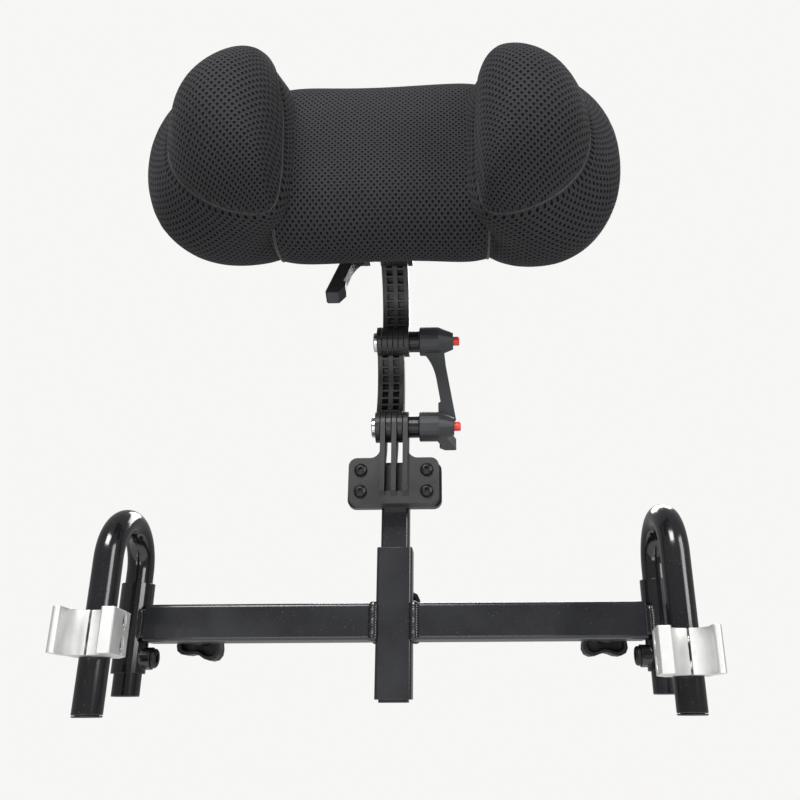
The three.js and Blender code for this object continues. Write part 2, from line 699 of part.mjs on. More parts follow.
function makeLink() {
  const inner = linkArcRadius - linkBand / 2;
  const outer = linkArcRadius + linkBand / 2;
  const half = partHalfWidth;
  let body = slabX(arcSector(inner, outer, -arcHalfAngle, arcHalfAngle), -half, half, 10);
  const knuckle = rod(knuckleRadius, -half, half, "x", 24);
  body = join(body, knuckle, knuckle.translate([0, 0, linkSpan]));
  const step = rungPitch / linkArcRadius;
  const opening = step - rungThickness / linkArcRadius;
  const relief = rod(knuckleRadius + 1.2, -slotWidth / 2, slotWidth / 2, "x", 24);
  for (const x of gapOffsets) {
    for (let i = 0; i < rungCount - 1; i += 1) {
      const middle = (i - (rungCount - 2) / 2) * step;
      const from = middle - opening / 2;
      const to = middle + opening / 2;
      const left = x - slotWidth / 2;
      const right = x + slotWidth / 2;
      const front = arcSector(inner - 2, linkArcRadius - linkWeb / 2, from, to);
      const back = arcSector(linkArcRadius + linkWeb / 2, outer + 2, from, to);
      body = cut(body, slabX(front, left, right, 1), slabX(back, left, right, 1));
    }
    body = cut(body, relief.translate([x, 0, 0]), relief.translate([x, 0, linkSpan]));
  }
  return cut(body, pivotHole(), pivotHole(0, linkSpan));
}

place("lower_link", makeLink(), blackNylon, pivotGroup(lowPivot, -fingerPitch));
place("upper_link", makeLink(), blackNylon, pivotGroup(middlePivot, 0, upperLinkLean));

// ---------------------------------------------------------------- pivots and clamp levers

// Each pivot is drawn for a lever on the right, hanging straight down. The stack of fingers runs
// from stackLeft to stackRight.
const hubStart = touchGap + neckLength + touchGap; // from the stack's face to the hub
const hubEnd = hubStart + hubLength + hubTaper;
const boreStart = hubEnd - buttonDepth;

function makePivotBolt(stackWidth) {
  const underHead = -stackWidth - touchGap;
  const head = underHead - boltHeadThickness;
  const end = boreStart - 4;
  const profile = [
    [0, head], [boltHeadRadius - 0.6, head], [boltHeadRadius, head + 0.6],
    [boltHeadRadius, underHead], [pivotBoltRadius, underHead], [pivotBoltRadius, end], [0, end],
  ];
  return cut(turned(profile, "x", 24), hexSocket(5, head - 1, head + 1.8));
}

function makeNeck() {
  const ring = rod(neckRadius, touchGap, touchGap + neckLength, "x", 20);
  return cut(ring, rod(pivotBoltRadius + touchGap, -1, hubEnd, "x", 20));
}

function makeLever() {
  const hubProfile = [
    [0, hubStart], [hubRadius - 0.6, hubStart], [hubRadius, hubStart + 0.6],
    [hubRadius, hubStart + hubLength], [hubEndRadius, hubEnd], [0, hubEnd],
  ];
  const lean = 0.17; // how much the arm leans outwards for each millimetre of its length
  const armWidth = 9;
  const armInner = (z) => hubStart + 7.5 + lean * z;
  const armOuter = (z) => armInner(z) + armWidth;
  const grip = leverLength - 10;
  const shape = new THREE.Shape();
  const rootInner = hubStart + 3;
  shape.moveTo(rootInner, 0);
  shape.lineTo(rootInner, -hubRadius + 2);
  shape.quadraticCurveTo(armInner(14), -16, armInner(28), -28);
  shape.lineTo(armInner(grip - 5), -(grip - 5));
  shape.lineTo(armInner(grip) - 2.6, -(grip - 4));
  shape.lineTo(armInner(grip) - 2.6, -(grip + 2));
  shape.lineTo(armInner(leverLength), -leverLength);
  shape.lineTo(armOuter(leverLength) - 1.5, -leverLength);
  shape.lineTo(armOuter(leverLength), -(leverLength - 1.5));
  shape.lineTo(armOuter(20), -20);
  shape.lineTo(armOuter(8), 0);
  const arm = slabY(shape, leverThickness / 2, -leverThickness / 2, 6);
  return cut(
    join(turned(hubProfile, "x", 24), arm),
    rod(pivotBoltRadius + touchGap, hubStart - 1, boreStart + 0.5, "x", 20),
    rod(buttonRadius + touchGap, boreStart, hubEnd + 1, "x", 16),
  );
}

function makeButton() {
  const start = boreStart + touchGap + springLength + touchGap + buttonTravel;
  const end = hubEnd + buttonProud;
  const profile = [
    [0, start], [buttonRadius, start], [buttonRadius, end - 0.6], [buttonRadius - 0.6, end], [0, end],
  ];
  return turned(profile, "x", 16);
}

// Return spring below the button: a close-wound coil at its solid length, drawn as the plain tube
// that its wire then fills.
function makeButtonSpring() {
  const start = boreStart + touchGap;
  const outer = buttonRadius - touchGap;
  const coil = rod(outer, start, start + springLength, "x", 16);
  return cut(coil, rod(outer - springWire, start - 1, start + springLength + 1, "x", 16));
}

// side is 1 for a lever on the right and -1 for one on the left; stackFace is the x of the
// finger stack's face on the lever's side.
function placePivot(prefix, pivot, side, stackFace, leverAngle) {
  const group = pivotGroup(pivot, stackFace);
  const stackWidth = samePartPitch * (fingersPerPart - 1) + fingerPitch + fingerThickness;
  place(`${prefix}_bolt`, sided(makePivotBolt(stackWidth), side), zincSteel, group);
  place(`${prefix}_neck`, sided(makeNeck(), side), blackSteel, group);
  const lever = new THREE.Group();
  lever.rotation.x = leverAngle * degree;
  group.add(lever);
  place(`${prefix}_lever`, sided(makeLever(), side), leverGrey, lever);
  place(`${prefix}_button`, sided(makeButton(), side), redPlastic, lever);
  place(`${prefix}_spring`, sided(makeButtonSpring(), side), zincSteel, lever);
}

placePivot("low_pivot", lowPivot, 1, partHalfWidth, leverAngleLow);
placePivot("middle_pivot", middlePivot, 1, partHalfWidth, leverAngleMiddle);
placePivot("top_pivot", topPivot, -1, -partHalfWidth, leverAngleTop);

// ---------------------------------------------------------------- head pad

// The pad's bracket is the same moulding as the one on the post, turned over and about.
const padBracket = pivotGroup(topPivot, fingerPitch);
padBracket.rotation.x = Math.PI;
placeBracket("pad", padBracket);

const padCentreY = topPivot.x - plateBack - touchGap - backPlateThickness - touchGap - padDepth / 2;
const padCentreZ = topPivot.y + padRise;

// Closed outline of a soft section: an ellipse with fuller corners.
function softSection(depth, height, fullness) {
  const points = [];
  const steps = 28;
  for (let i = 0; i < steps; i += 1) {
    const angle = (i / steps) * 2 * Math.PI;
    const c = Math.cos(angle);
    const s = Math.sin(angle);
    const y = Math.sign(c) * Math.abs(c) ** fullness * (depth / 2);
    const z = Math.sign(s) * Math.abs(s) ** fullness * (height / 2);
    points.push(new THREE.Vector2(padCentreY + y, padCentreZ + z));
  }
  return new THREE.Shape(points);
}

function makeCentrePad() {
  const half = centrePadWidth / 2 - touchGap;
  return slabX(softSection(padDepth, padHeight, 0.92), padOffset - half, padOffset + half, 1);
}

// Cross-sections of a wing from its back to its tip, in planes that face forwards. Each row holds
// how far forward it lies as a share of wingDepth, its outer and inner edge as shares of
// wingWidth, outwards from the seam, and its top and bottom as shares of half of wingHeight.
const wingSections = [
  [0, 0.62, -0.27, 0.63, -0.63],
  [0.07, 0.84, -0.27, 0.84, -0.82],
  [0.2, 0.97, -0.27, 0.96, -0.94],
  [0.37, 1, -0.27, 1, -0.98],
  [0.52, 0.95, -0.24, 1, -0.96],
  [0.63, 0.83, -0.09, 0.96, -0.89],
  [0.71, 0.71, -0.065, 0.89, -0.8],
  [0.81, 0.63, -0.06, 0.76, -0.65],
  [0.905, 0.51, -0.01, 0.55, -0.45],
  [0.97, 0.38, 0.09, 0.35, -0.23],
  [1, 0.29, 0.17, 0.2, -0.08],
];

// A wing is a loft through its sections, cut off flat where it is sewn to the centre pad.
function makeWing() {
  const round = 28;
  const fullness = 0.86;
  const seam = centrePadWidth / 2;
  const rear = padCentreY + padDepth / 2;
  const positions = [];
  const index = [];
  for (const [forward, outer, inner, top, bottom] of wingSections) {
    for (let j = 0; j < round; j += 1) {
      const angle = (j / round) * 2 * Math.PI;
      const c = Math.cos(angle);
      const s = Math.sin(angle);
      const across = Math.sign(c) * Math.abs(c) ** fullness;
      const up = Math.sign(s) * Math.abs(s) ** fullness;
      positions.push(
        seam + (wingWidth * (outer + inner + (outer - inner) * across)) / 2,
        rear - wingDepth * forward,
        padCentreZ + (wingHeight * (top + bottom + (top - bottom) * up)) / 4,
      );
    }
  }
  const last = wingSections.length - 1;
  for (let i = 0; i < last; i += 1) {
    for (let j = 0; j < round; j += 1) {
      const k = (j + 1) % round;
      const a = i * round;
      const b = a + round;
      index.push(a + j, a + k, b + k, a + j, b + k, b + j);
    }
  }
  for (let j = 1; j < round - 1; j += 1) {
    index.push(0, j + 1, j, last * round, last * round + j, last * round + j + 1);
  }
  const loft = new THREE.BufferGeometry();
  loft.setAttribute("position", new THREE.Float32BufferAttribute(positions, 3));
  loft.setIndex(index);
  const far = 400;
  const centreFront = padCentreY - padDepth / 2 - touchGap;
  return cut(solid(loft), block(-far, seam, centreFront, far, -far, 2 * far));
}

place("centre_pad", makeCentrePad(), airMesh);
for (const side of sides) {
  place(`${side.name}_wing`, sided(makeWing(), side.sign).translate([padOffset, 0, 0]), airMesh);
}

// ---------------------------------------------------------------- the part's own frame

const armAxisBehindPosts = legSpacing + slotReach * Math.cos(clampSwivel * degree);
const armAxisAbovePosts = -(clampHeightLeft + clampHeightRight) / 2;
tubeFrame.position.set(0, armAxisBehindPosts, armAxisAbovePosts);

const headrest = new THREE.Group();
headrest.add(tubeFrame);
export default headrest;
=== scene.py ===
import json
import math
import bpy
import bmesh
from mathutils import Matrix, Vector, noise

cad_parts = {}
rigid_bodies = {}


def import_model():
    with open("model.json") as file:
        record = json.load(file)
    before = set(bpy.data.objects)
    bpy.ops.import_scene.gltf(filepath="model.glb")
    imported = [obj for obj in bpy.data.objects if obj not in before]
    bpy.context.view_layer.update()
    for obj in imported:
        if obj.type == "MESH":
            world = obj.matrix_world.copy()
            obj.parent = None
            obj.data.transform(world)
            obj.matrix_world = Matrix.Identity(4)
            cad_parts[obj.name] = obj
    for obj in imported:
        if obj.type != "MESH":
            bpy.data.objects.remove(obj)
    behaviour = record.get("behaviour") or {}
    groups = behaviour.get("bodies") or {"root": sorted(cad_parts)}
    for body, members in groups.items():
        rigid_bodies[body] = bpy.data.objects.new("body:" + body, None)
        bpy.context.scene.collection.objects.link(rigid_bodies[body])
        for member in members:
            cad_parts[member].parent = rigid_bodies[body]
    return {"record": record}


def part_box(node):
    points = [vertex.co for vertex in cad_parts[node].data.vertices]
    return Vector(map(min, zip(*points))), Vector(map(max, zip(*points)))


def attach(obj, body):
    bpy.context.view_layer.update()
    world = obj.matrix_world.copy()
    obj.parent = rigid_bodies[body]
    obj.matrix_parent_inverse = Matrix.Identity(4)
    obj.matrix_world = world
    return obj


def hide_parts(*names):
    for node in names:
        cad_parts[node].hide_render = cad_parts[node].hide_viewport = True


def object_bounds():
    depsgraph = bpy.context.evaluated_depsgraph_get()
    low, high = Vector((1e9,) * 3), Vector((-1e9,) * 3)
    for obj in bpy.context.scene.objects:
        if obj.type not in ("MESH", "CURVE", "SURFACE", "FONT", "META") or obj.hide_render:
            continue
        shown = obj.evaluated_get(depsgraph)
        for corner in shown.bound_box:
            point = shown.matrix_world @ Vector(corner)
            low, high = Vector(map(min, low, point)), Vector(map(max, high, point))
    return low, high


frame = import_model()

cad_lo, cad_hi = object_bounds()
scene = bpy.context.scene
MM = 0.001


def mm(*values):
    """A point given in millimetres, as metres."""
    return Vector(values) * MM


# ---------------------------------------------------------------- material helpers


class Material:
    """A node material with a Principled shader, built up one node at a time."""

    def __init__(self, name):
        self.made = bpy.data.materials.new(name)
        self.made.use_nodes = True
        self.tree = self.made.node_tree
        self.shader = self.tree.nodes["Principled BSDF"]

    def node(self, kind, inputs=None, **settings):
        made = self.tree.nodes.new(kind)
        for key, value in settings.items():
            setattr(made, key, value)
        for key, value in (inputs or {}).items():
            self.set(made.inputs[key], value)
        return made

    def set(self, socket, value):
        if isinstance(value, bpy.types.NodeSocket):
            self.tree.links.new(value, socket)
        else:
            socket.default_value = value

    def surface(self, **inputs):
        for key, value in inputs.items():
            self.set(self.shader.inputs[key.replace("_", " ")], value)

    def math(self, operation, a, b=0.0, c=0.0, clamp=False):
        made = self.node("ShaderNodeMath", operation=operation, use_clamp=clamp)
        for socket, value in zip(made.inputs, (a, b, c)):
            self.set(socket, value)
        return made.outputs[0]

    def objects(self):
        return self.node("ShaderNodeTexCoord").outputs["Object"]

    def noise(self, scale, detail=2.0, vector=None, roughness=0.5):
        made = self.node("ShaderNodeTexNoise", {
            "Scale": scale, "Detail": detail, "Roughness": roughness})
        self.set(made.inputs["Vector"], vector or self.objects())
        return made.outputs["Fac"]

    def ramp(self, value, low, high, to_low=0.0, to_high=1.0):
        made = self.node("ShaderNodeMapRange", {
            "Value": value, "From Min": low, "From Max": high, "To Min": to_low, "To Max": to_high})
        return made.outputs["Result"]

    def mix(self, amount, first, second):
        made = self.node("ShaderNodeMix", data_type="RGBA")
        self.set(made.inputs[0], amount)
        for socket, colour in ((made.inputs[6], first), (made.inputs[7], second)):
            if not isinstance(colour, bpy.types.NodeSocket):
                colour = (*colour, 1.0)
            self.set(socket, colour)
        return made.outputs[2]

    def bump(self, height, strength, distance, normal=None):
        made = self.node("ShaderNodeBump", {
            "Height": height, "Strength": strength, "Distance": distance})
        if normal:
            self.set(made.inputs["Normal"], normal)
        return made.outputs["Normal"]

    def rounded(self, radius):
        """Normal of edges rounded to that radius, and a mask that is 1 on them."""
        normal = self.node("ShaderNodeBevel", {"Radius": radius}, samples=6).outputs["Normal"]
        true = self.node("ShaderNodeNewGeometry").outputs["Normal"]
        made = self.node("ShaderNodeVectorMath", {0: normal, 1: true}, operation="DOT_PRODUCT")
        return normal, self.ramp(made.outputs["Value"], 0.985, 0.82)


def powder_coat(name, colour, rough, peel):
    """Baked powder coat: slight orange peel, uneven gloss, dust, and thin edges painted lighter in
    patches, partly as wear and partly as a painted highlight.
    """
    m = Material(name)
    normal, edge = m.rounded(0.0007)
    cloudy = m.noise(22.0, 3.0)
    fine = m.noise(1500.0, 2.0)
    dust = m.ramp(m.noise(900.0, 1.0), 0.70, 0.78)
    # edges painted lighter in patches: partly wear, partly a painted highlight along the edges
    worn_and_highlit_edges = m.math("MULTIPLY", edge, m.ramp(m.noise(160.0, 4.0), 0.46, 0.62))
    base = m.mix(m.ramp(cloudy, 0.3, 0.7), colour, tuple(c * 1.5 + 0.001 for c in colour))
    base = m.mix(m.math("MULTIPLY", dust, 0.35), base, (0.11, 0.11, 0.115))
    base = m.mix(m.math("MULTIPLY", worn_and_highlit_edges, 0.3), base, (0.09, 0.09, 0.09))
    gloss = m.math("ADD", m.ramp(cloudy, 0.3, 0.7, rough - 0.05, rough + 0.07),
                   m.math("MULTIPLY", dust, 0.25))
    m.surface(Base_Color=base, Roughness=gloss, IOR=1.5, Coat_Weight=0.25, Coat_Roughness=0.12,
              Normal=m.bump(fine, peel, 0.0002, normal))
    return m.made


def moulded_plastic(name, colour, rough, grain, edge_highlight_tone=0.10):
    """Glass-filled moulding: fine grain, pale flow clouds, and edges painted a little lighter as a
    painted highlight.
    """
    m = Material(name)
    normal, edge = m.rounded(0.0006)
    clouds = m.noise(45.0, 4.0)
    speck = m.noise(2600.0, 1.0)
    stretched = m.node("ShaderNodeMapping", {"Vector": m.objects(), "Scale": (700.0, 700.0, 2400.0)})
    fibres = m.noise(1.0, 2.0, stretched.outputs["Vector"])
    base = m.mix(m.ramp(clouds, 0.35, 0.7), colour, tuple(c * 1.6 + 0.001 for c in colour))
    base = m.mix(m.math("MULTIPLY", m.ramp(fibres, 0.62, 0.74), 0.4), base, tuple(c * 3 for c in colour))
    # painted highlight: every edge is painted lighter
    base = m.mix(m.math("MULTIPLY", edge, 0.5), base, (edge_highlight_tone, edge_highlight_tone, edge_highlight_tone * 1.03))
    height = m.math("ADD", speck, m.math("MULTIPLY", fibres, 0.6))
    m.surface(Base_Color=base, Roughness=m.ramp(clouds, 0.3, 0.7, rough - 0.06, rough + 0.08),
              IOR=1.49, Normal=m.bump(height, grain, 0.00018, normal))
    return m.made


def bare_metal(name, colour, rough, grain, scale, metallic=1.0, streak=(1.0, 1.0, 1.0)):
    """Blasted, plated or machined metal with uneven sheen, fine marks, and edges painted brighter as a
    painted highlight.
    """
    m = Material(name)
    normal, edge = m.rounded(0.0005)
    stretched = m.node("ShaderNodeMapping", {"Vector": m.objects(), "Scale": streak})
    marks = m.noise(scale, 3.0, stretched.outputs["Vector"])
    clouds = m.noise(60.0, 4.0)
    scratch = m.ramp(m.noise(320.0, 5.0), 0.60, 0.68)
    base = m.mix(m.ramp(clouds, 0.3, 0.75), colour, tuple(c * 0.86 for c in colour))
    base = m.mix(m.math("MULTIPLY", scratch, 0.25), base, tuple(c * 0.7 for c in colour))
    # painted highlight: every edge is painted brighter
    base = m.mix(m.math("MULTIPLY", edge, 0.5), base, tuple(min(c * 1.15, 0.97) for c in colour))
    gloss = m.math("ADD", m.ramp(clouds, 0.3, 0.7, rough - 0.05, rough + 0.07),
                   m.math("MULTIPLY", marks, 0.08))
    m.surface(Base_Color=base, Metallic=metallic, Roughness=gloss,
              Normal=m.bump(marks, grain, 0.00015, normal))
    return m.made


def air_mesh(name, across, along, hole, depth, yarn=(0.0165, 0.0167, 0.0188)):
    """Knitted spacer mesh. Holes are staggered: `across` apart in a row, with rows `along` apart,
    both in millimetres, measured in the piece's own UV map, which is in metres."""
    m = Material(name)
    uv = m.node("ShaderNodeUVMap", uv_map="knit").outputs["UV"]
    wobble = m.node("ShaderNodeTexNoise", {"Vector": uv, "Scale": 130.0, "Detail": 1.0})
    moved = m.node("ShaderNodeVectorMath", {0: wobble.outputs["Color"], 1: (0.0009, 0.0009, 0.0)},
                   operation="MULTIPLY")
    placed = m.node("ShaderNodeVectorMath", {0: uv, 1: moved.outputs[0]}, operation="ADD")
    split = m.node("ShaderNodeSeparateXYZ", {0: placed.outputs[0]})
    u = m.math("COSINE", m.math("MULTIPLY", split.outputs[0], 2 * math.pi / (across * MM)))
    v = m.math("COSINE", m.math("MULTIPLY", split.outputs[1], math.pi / (along * MM)))
    lattice = m.math("MULTIPLY", u, v)
    open_ = m.ramp(lattice, hole, hole + 0.28)
    rim = m.math("SUBTRACT", m.ramp(lattice, hole - 0.75, hole), open_, clamp=True)
    twist = m.node("ShaderNodeTexWave", {
        "Vector": uv, "Scale": 420.0, "Distortion": 3.0, "Detail": 1.0}, bands_direction="DIAGONAL")
    fuzz = m.noise(3200.0, 2.0)
    patch = m.noise(24.0, 3.0)
    light = m.math("ADD", m.math("MULTIPLY", twist.outputs["Fac"], 0.5), m.math("MULTIPLY", fuzz, 0.6))
    pale = tuple(c * 2.2 + 0.004 for c in yarn)
    base = m.mix(light, tuple(c * 0.55 for c in yarn), pale)
    base = m.mix(m.math("MULTIPLY", m.ramp(patch, 0.35, 0.7), 0.35), base, tuple(c * 0.7 for c in yarn))
    # painted highlight: the raised rim round each hole is painted paler
    base = m.mix(m.math("MULTIPLY", rim, 0.35), base, pale)
    # the holes are painted near-black: partly the dark fabric inside, partly painted shade in the hole
    base = m.mix(open_, base, (0.0012, 0.0012, 0.0014))
    height = m.math("SUBTRACT", m.math("MULTIPLY", light, 0.16), open_)
    height = m.math("ADD", height, m.math("MULTIPLY", rim, 0.25))
    m.surface(Base_Color=base, Roughness=m.ramp(open_, 0.0, 1.0, 0.78, 0.95),
              Sheen_Weight=0.05, Sheen_Roughness=0.4,
              Specular_IOR_Level=0.16, Normal=m.bump(height, 0.9, depth * MM))
    return m.made


def thread(name, colour):
    """Twisted sewing thread or knitted binding."""
    m = Material(name)
    twist = m.node("ShaderNodeTexWave", {
        "Vector": m.objects(), "Scale": 700.0, "Distortion": 4.0}, bands_direction="DIAGONAL")
    base = m.mix(twist.outputs["Fac"], tuple(c * 0.5 for c in colour), tuple(c * 1.8 for c in colour))
    m.surface(Base_Color=base, Roughness=0.8, Sheen_Weight=0.3,
              Normal=m.bump(twist.outputs["Fac"], 0.7, 0.0004))
    return m.made


def red_moulding():
    m = Material("red_moulding")
    normal, edge = m.rounded(0.0004)
    clouds = m.noise(220.0, 3.0)
    base = m.mix(m.ramp(clouds, 0.3, 0.7), (0.72, 0.045, 0.022), (0.58, 0.028, 0.018))
    # painted highlight: every edge is painted a lighter red
    base = m.mix(m.math("MULTIPLY", edge, 0.4), base, (0.85, 0.12, 0.07))
    m.surface(Base_Color=base, Roughness=m.ramp(clouds, 0.3, 0.7, 0.28, 0.42), IOR=1.5,
              Subsurface_Weight=0.05, Subsurface_Scale=0.001,
              Normal=m.bump(m.noise(1800.0, 1.0), 0.08, 0.0001, normal))
    return m.made


GLOSS_BLACK = powder_coat("gloss_powder_coat", (0.0055, 0.0056, 0.0068), 0.15, 0.04)
SATIN_BLACK = powder_coat("satin_powder_coat", (0.0072, 0.0076, 0.0098), 0.26, 0.10)
NYLON = moulded_plastic("glass_filled_nylon", (0.0085, 0.0085, 0.009), 0.42, 0.12, 0.05)
SOFT_NYLON = moulded_plastic("matt_nylon", (0.011, 0.011, 0.0118), 0.55, 0.2, 0.05)
LEVER = moulded_plastic("lever_coating", (0.017, 0.018, 0.0195), 0.46, 0.22, 0.07)
CAST = bare_metal("blasted_aluminium", (0.80, 0.80, 0.79), 0.42, 0.22, 1900.0, 0.9)
ZINC = bare_metal("zinc_plate", (0.60, 0.615, 0.63), 0.24, 0.10, 1200.0, 1.0, (0.2, 1.0, 1.0))
SPRING = bare_metal("spring_wire", (0.50, 0.50, 0.51), 0.3, 0.1, 1500.0)
OXIDE = bare_metal("black_oxide", (0.035, 0.035, 0.038), 0.30, 0.12, 1700.0, 0.85)
RED = red_moulding()

LOOKS = {
    "black_coat": GLOSS_BLACK,
    "black_nylon": NYLON,
    "lever_grey": LEVER,
    "aluminium": CAST,
    "zinc": ZINC,
    "black_steel": OXIDE,
    "red_plastic": RED,
}
SATIN = ("post_sleeve", "arm_tube", "inner_arm", "inner_post", "knob_boss")

for part in frame["record"]["subparts"]:
    node = bpy.data.objects[part["node"]]
    look = LOOKS.get(part["material_slot"])
    if part["node"].startswith(SATIN):
        look = SATIN_BLACK
    if part["node"].startswith("star_knob"):
        look = SOFT_NYLON
    if part["node"].endswith("spring"):
        look = SPRING
    if look:
        node.data.materials.clear()
        node.data.materials.append(look)
    node.data.shade_smooth()
    node.data.set_sharp_from_angle(angle=math.radians(32))

# ---------------------------------------------------------------- mesh helpers


def piece(name, mesh, body, slot, *looks):
    """A finished mesh as a piece that rides on a body."""
    made = bpy.data.objects.new(name, mesh)
    scene.collection.objects.link(made)
    for look in looks:
        mesh.materials.append(look)
    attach(made, body)
    return made


def mesh_from(points, faces, smooth=True):
    mesh = bpy.data.meshes.new("made")
    mesh.from_pydata([tuple(p) for p in points], [], faces)
    welded = bmesh.new()
    welded.from_mesh(mesh)
    bmesh.ops.remove_doubles(welded, verts=welded.verts, dist=1e-6)
    bmesh.ops.recalc_face_normals(welded, faces=welded.faces)
    welded.to_mesh(mesh)
    welded.free()
    if smooth:
        mesh.shade_smooth()
    return mesh


def loft(rings, closed_ends=True):
    """A mesh through rings that all have as many points; ends are closed by one face each."""
    count = len(rings[0])
    points = [p for ring in rings for p in ring]
    faces = []
    for i in range(len(rings) - 1):
        for j in range(count):
            k = (j + 1) % count
            faces.append((i * count + j, i * count + k, (i + 1) * count + k, (i + 1) * count + j))
    if closed_ends:
        faces.append(tuple(reversed(range(count))))
        faces.append(tuple((len(rings) - 1) * count + j for j in range(count)))
    return mesh_from(points, faces)


def tube(path, radius, sides=10, closed=False, flat=1.0):
    """A round or flattened cord through points. radius may be a function of the point's place."""
    count = len(path)
    rings = []
    normal = None
    for i, p in enumerate(path):
        if closed:
            ahead, behind = path[(i + 1) % count], path[i - 1]
        else:
            ahead, behind = path[min(i + 1, count - 1)], path[max(i - 1, 0)]
        direction = (ahead - behind).normalized()
        if normal is None:
            normal = direction.orthogonal().normalized()
        normal = (normal - direction * normal.dot(direction)).normalized()
        other = direction.cross(normal)
        r = radius(i / count) if callable(radius) else radius
        rings.append([
            p + normal * (r * math.cos(a)) + other * (r * flat * math.sin(a))
            for a in (2 * math.pi * j / sides for j in range(sides))])
    if closed:
        rings.append(rings[0])
        return loft(rings, closed_ends=False)
    return loft(rings)


# ---------------------------------------------------------------- weld beads

def middle_of(node):
    low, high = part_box(node)
    return (Vector(low) + Vector(high)) / 2


# the tube frame's own origin: where the arm and post axes meet
ORIGIN = middle_of("arm_tube_left")
ORIGIN.x = middle_of("post_sleeve").x


def weld(name, body, start, end, lean, width):
    """A hand-laid fillet weld from start to end, made of overlapping ripples. lean points away
    from the corner that it fills."""
    steps = 60
    along = (end - start).normalized()
    side = along.cross(lean).normalized()
    length = (end - start).length
    ripple = 1.7 * MM
    rings = []
    for i in range(steps + 1):
        t = i / steps
        s = t * length
        phase = (s / ripple) % 1.0
        swell = 0.86 + 0.2 * (1 - phase) * min(phase * 6, 1)
        tip = min(1.0, math.sqrt(max(0.0, 1 - (abs(2 * t - 1)) ** 6)) + 0.15)
        wander = noise.noise(start * 900 + Vector((0, 0, s * 260))) * 0.35 * MM
        centre = start + along * s + side * wander
        ring = []
        for j in range(12):
            a = 2 * math.pi * j / 12
            r = width / 2 * swell * tip
            ring.append(centre + side * (r * math.cos(a)) + lean * (r * 0.62 * math.sin(a)))
        rings.append(ring)
    return piece(name, loft(rings), body, "black_coat", GLOSS_BLACK)


WALL = 12.5 * MM
for side, name in ((-1, "left"), (1, "right")):
    for face, where in ((-1, "front"), (1, "back")):
        x = side * (WALL + 1.6 * MM)
        y = face * (WALL + 0.1 * MM)
        lean = Vector((0, face, 0))
        weld(f"weld_post_{name}_{where}", "frame", ORIGIN + Vector((x, y, -13.5 * MM)),
             ORIGIN + Vector((x, y, 13.5 * MM)), lean, 7 * MM)
        x = side * 177.2 * MM
        y = face * 9.2 * MM
        weld(f"weld_sleeve_{name}_{where}", f"side_{name}", ORIGIN + Vector((x, y, -10 * MM)),
             ORIGIN + Vector((x, y, 10 * MM)), lean, 5 * MM)

# ---------------------------------------------------------------- bent U tubes

TUBE_WALL = 2 * MM
REAR_LEG_END = ORIGIN.z - 48 * MM


def bent_tube(low, high):
    """An open-ended tube in the box given: up the rear leg, over the bend and down the front leg."""
    radius = (high.x - low.x) / 2
    x = (high.x + low.x) / 2
    rear, front = high.y - radius, low.y + radius
    bend = (rear - front) / 2
    top = high.z - radius - bend
    leg_steps, bend_steps, sides = 8, 56, 48
    chamfer = 0.5 * MM

    # one station is a place on the tube's axis, how far the bend has turned, and the chamfer there
    stations = [(Vector((x, rear, REAR_LEG_END)), 0, chamfer)]
    stations.append((Vector((x, rear, REAR_LEG_END + chamfer)), 0, 0))
    for k in range(1, leg_steps):
        z = REAR_LEG_END + (top - REAR_LEG_END) * k / leg_steps
        stations.append((Vector((x, rear, z)), 0, 0))
    for k in range(bend_steps + 1):
        turn = math.pi * k / bend_steps
        y = (rear + front) / 2 + bend * math.cos(turn)
        stations.append((Vector((x, y, top + bend * math.sin(turn))), turn, 0))
    for k in range(1, leg_steps):
        stations.append((Vector((x, front, top - (top - low.z) * k / leg_steps)), math.pi, 0))
    stations.append((Vector((x, front, low.z + chamfer)), math.pi, 0))
    stations.append((Vector((x, front, low.z)), math.pi, chamfer))

    outside, inside = [], []
    for middle, turn, cut in stations:
        out = Vector((0, math.cos(turn), math.sin(turn)))
        for r, rings in ((radius - cut, outside), (radius - TUBE_WALL, inside)):
            rings.append([
                middle + out * (r * math.cos(a)) + Vector((r * math.sin(a), 0, 0))
                for a in (2 * math.pi * j / sides for j in range(sides))])
    return loft(outside + inside[::-1] + outside[:1], closed_ends=False)


for name in ("left", "right"):
    low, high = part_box(f"u_tube_{name}")
    made = bent_tube(Vector(low), Vector(high))
    bent = piece(f"bent_tube_{name}", made, f"u_{name}", "black_coat", GLOSS_BLACK)
    bent.data.set_sharp_from_angle(angle=math.radians(40))
    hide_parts(f"u_tube_{name}")

# ---------------------------------------------------------------- the pillow

PAD = middle_of("centre_pad")
HALF_WIDTH = 73 * MM


def soft_section(depth, height, fullness, count):
    """Closed outline in (y, z) round the pad's middle."""
    points = []
    for i in range(count):
        a = 2 * math.pi * i / count
        c, s = math.cos(a), math.sin(a)
        y = math.copysign(abs(c) ** fullness, c) * depth / 2
        z = math.copysign(abs(s) ** fullness, s) * height / 2
        points.append((y, z))
    return points


def centre_form():
    """The centre pad before it is filled: pulled in at both ends, where it meets the wings."""
    rings = []
    for i in range(25):
        t = -1 + 2 * i / 24
        x = t * (HALF_WIDTH + 3 * MM)
        pull = 1 - 0.085 * abs(t) ** 9 - 0.012 * math.cos(3 * t)
        rings.append([
            PAD + Vector((x, y * pull, z * pull + 2.5 * MM))
            for y, z in soft_section(80 * MM, 135 * MM, 0.92, 48)])
    return loft(rings)


